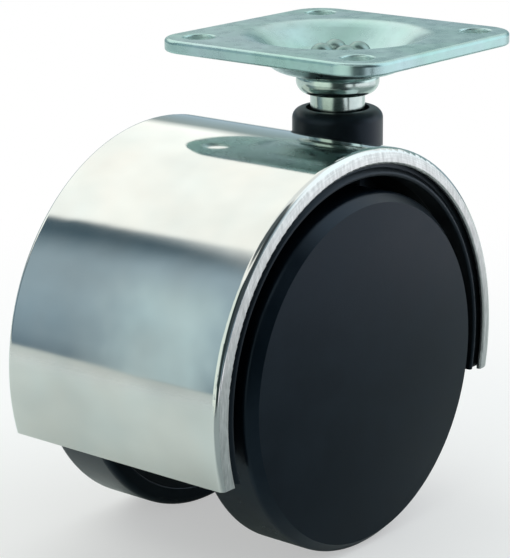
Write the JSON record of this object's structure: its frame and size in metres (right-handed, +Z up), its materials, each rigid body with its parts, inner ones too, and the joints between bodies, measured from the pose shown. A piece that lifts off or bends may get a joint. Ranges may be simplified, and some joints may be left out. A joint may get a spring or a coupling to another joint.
{
  "type": "hooded twin wheel caster",
  "caption": "Twin-wheel swivel caster for chairs and furniture, with a polished metal hood over black plastic wheels and a square dished plate that screws to the furniture.",
  "frame": {"origin": "centre of the top plate's top face, on the swivel axis", "axes": "+Z up out of the plate's top face, +X from the axle towards the swivel axis, +Y along the axle"},
  "size_m": [0.0684, 0.0416, 0.0673],
  "materials": {
    "zinc_plate": "bright zinc plate with a blue-green tint, soft gloss",
    "zinc_pin": "bright zinc plate, glossy",
    "spring_steel": "dark spring steel",
    "housing_plastic": "black moulded nylon, fine grain",
    "hood_chrome": "polished chrome with faint clouding, brushed side flanges",
    "bearing_steel": "turned steel",
    "axle_steel": "bright drawn steel",
    "washer_plastic": "natural acetal",
    "tread_plastic": "black hard tread, satin",
    "wheel_plastic": "black moulded nylon",
    "bush_plastic": "natural acetal",
    "wheel_cap_plastic": "blue-black moulded plastic, fine satin grain"
  },
  "bodies": {
    "base": {"top_plate": "zinc_plate", "swivel_pin": "zinc_pin", "retaining_ring": "spring_steel"},
    "swivel_body": {"housing": "housing_plastic", "hood": "hood_chrome", "socket_sleeve": "bearing_steel", "thrust_disc": "bearing_steel", "axle": "axle_steel", "thrust_washer_left": "washer_plastic", "thrust_washer_right": "washer_plastic", "axle_ring_left": "spring_steel", "axle_ring_right": "spring_steel"},
    "wheel_left": {"tread_left": "tread_plastic", "wheel_centre_left": "wheel_plastic", "hub_bush_left": "bush_plastic", "wheel_cap_left": "wheel_cap_plastic"},
    "wheel_right": {"tread_right": "tread_plastic", "wheel_centre_right": "wheel_plastic", "hub_bush_right": "bush_plastic", "wheel_cap_right": "wheel_cap_plastic"}
  },
  "joints": [
    {"name": "swivel", "type": "hinge", "parent": "base", "child": "swivel_body", "pos_m": [0, 0, 0], "axis": [0, 0, 1], "continuous": true},
    {"name": "roll_left", "type": "hinge", "parent": "swivel_body", "child": "wheel_left", "pos_m": [-0.0184, 0.0146, -0.0423], "axis": [0, 1, 0], "continuous": true},
    {"name": "roll_right", "type": "hinge", "parent": "swivel_body", "child": "wheel_right", "pos_m": [-0.0184, -0.0146, -0.0423], "axis": [0, 1, 0], "continuous": true}
  ]
}
